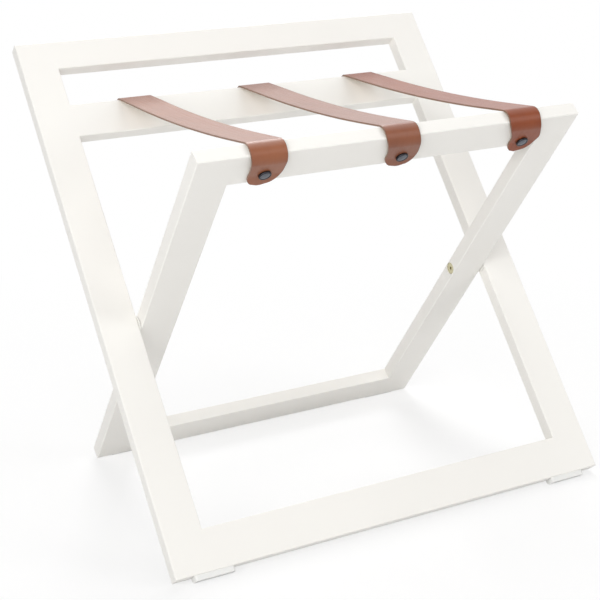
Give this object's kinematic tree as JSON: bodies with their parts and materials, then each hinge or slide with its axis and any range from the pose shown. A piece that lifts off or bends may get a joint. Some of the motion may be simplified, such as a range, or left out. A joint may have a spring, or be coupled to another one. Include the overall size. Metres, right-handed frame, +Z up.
{
  "type": "folding luggage bench",
  "caption": "Folding X-frame luggage bench in white painted wood, with a stand-up back rail and leather straps held by domed studs.",
  "frame": {"origin": "on the floor, under the middle of the open bench's width and depth", "axes": "+Z up; +X to the bench's right as seen from the front, along the pivot axis; +Y towards the back that stands up behind the straps"},
  "size_m": [0.6, 0.4636, 0.5635],
  "materials": {
    "white_paint": "satin off-white paint over close-grained hardwood",
    "bare_wood": "unpainted beech",
    "glide": "matt, slightly greyer than the paint",
    "nail_steel": "bright nail wire",
    "brass": "yellow plated steel, satin",
    "bush": "natural nylon",
    "leather": "smooth cognac leather with a soft sheen and darker edges",
    "gunmetal": "polished gunmetal"
  },
  "bodies": {
    "tall_frame": {"tall_stile_left": "white_paint", "tall_stile_right": "white_paint", "tall_top_rail": "white_paint", "strap_rail": "white_paint", "tall_bottom_rail": "white_paint", "tall_frame_dowels": "bare_wood", "tall_glide_left": "glide", "tall_glide_right": "glide", "tall_glide_nails": "nail_steel", "pivot_bolt_left": "brass", "pivot_bolt_right": "brass", "pivot_insert_left": "brass", "pivot_insert_right": "brass", "pivot_washer_left": "brass", "pivot_washer_right": "brass", "strap_left": "leather", "strap_middle": "leather", "strap_right": "leather", "back_studs": "gunmetal"},
    "short_frame": {"short_stile_left": "white_paint", "short_stile_right": "white_paint", "short_top_rail": "white_paint", "short_bottom_rail": "white_paint", "short_frame_dowels": "bare_wood", "short_glide_left": "glide", "short_glide_right": "glide", "short_glide_nails": "nail_steel", "pivot_bush_left": "bush", "pivot_bush_right": "bush", "front_studs": "gunmetal"}
  },
  "joints": [
    {"name": "fold", "type": "hinge", "parent": "tall_frame", "child": "short_frame", "pos_m": [0, -0.02636, 0.24758], "axis": [-1, 0, 0], "range_deg": [0, 72], "deforming": ["strap_left", "strap_middle", "strap_right"]}
  ]
}
